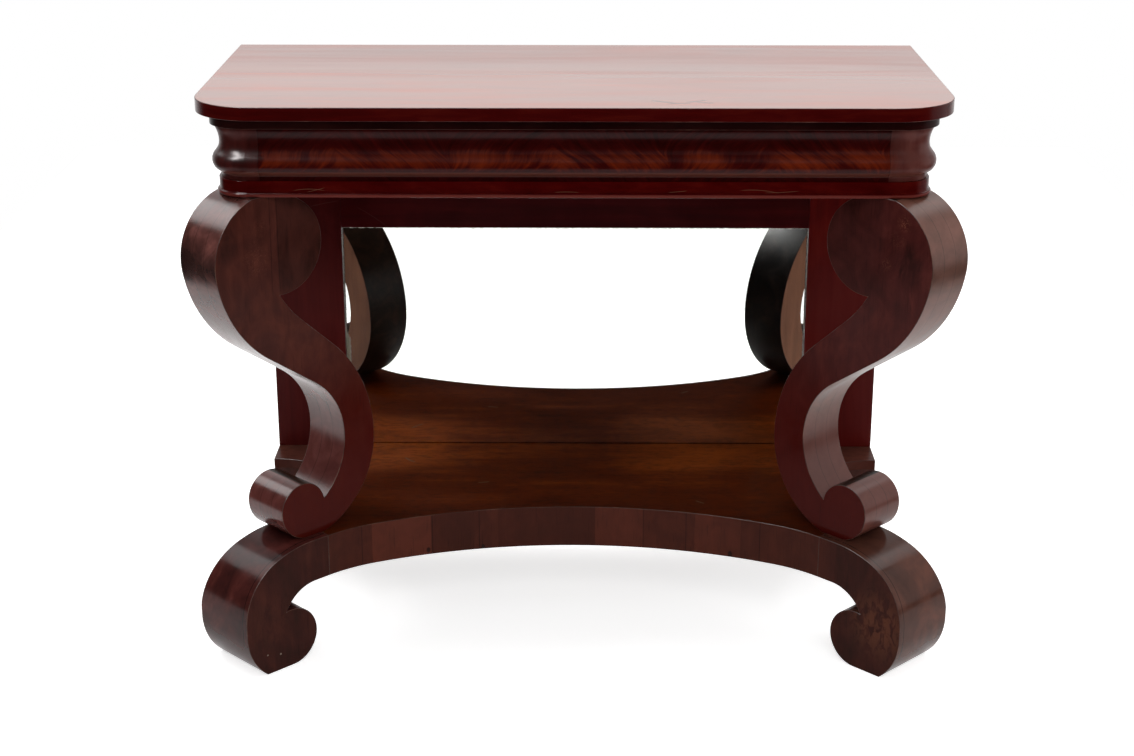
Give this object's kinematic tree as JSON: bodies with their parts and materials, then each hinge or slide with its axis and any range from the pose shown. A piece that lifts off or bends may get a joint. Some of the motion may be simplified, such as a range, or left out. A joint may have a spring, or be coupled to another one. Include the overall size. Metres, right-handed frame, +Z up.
{
  "type": "pier table",
  "caption": "Mahogany pier table on diagonal S-scroll supports, with a mirror between pilasters, a hollow-fronted shelf and scrolled feet.",
  "frame": {"origin": "on the floor, at the middle of the table's outline seen from above", "axes": "+X along the width, to the right as seen from the front; +Y from the front towards the wall; +Z up"},
  "size_m": [1.1618, 0.543, 0.886],
  "materials": {
    "mahogany": "polished dark red-brown mahogany",
    "secondary_wood": "plain unpolished wood inside and behind",
    "mirror": "old silvered glass, worn at its edges",
    "steel": "plain iron screws"
  },
  "bodies": {
    "root": {"arm_block_left": "secondary_wood", "arm_block_right": "secondary_wood", "band_corners": "mahogany", "band_front": "mahogany", "band_side_left": "mahogany", "band_side_right": "mahogany", "base_back_rail": "secondary_wood", "base_front_rail": "mahogany", "base_side_rail_left": "mahogany", "base_side_rail_right": "mahogany", "frieze_back": "secondary_wood", "frieze_corners": "mahogany", "frieze_front": "mahogany", "frieze_glue_blocks": "secondary_wood", "frieze_side_left": "mahogany", "frieze_side_right": "mahogany", "front_foot_left": "mahogany", "front_foot_right": "mahogany", "mirror_backboards": "secondary_wood", "mirror_glass": "mirror", "mirror_rail": "mahogany", "mirror_stop_rail": "secondary_wood", "mirror_strips": "secondary_wood", "pilaster_left": "mahogany", "pilaster_right": "mahogany", "rear_foot_left": "mahogany", "rear_foot_right": "mahogany", "scroll_dowels": "secondary_wood", "scroll_left": "mahogany", "scroll_right": "mahogany", "shelf_board": "mahogany", "subtop_back": "secondary_wood", "subtop_cross": "secondary_wood", "subtop_front": "mahogany", "subtop_side_left": "mahogany", "subtop_side_right": "mahogany", "top_board": "mahogany", "top_screws": "steel"}
  },
  "joints": []
}
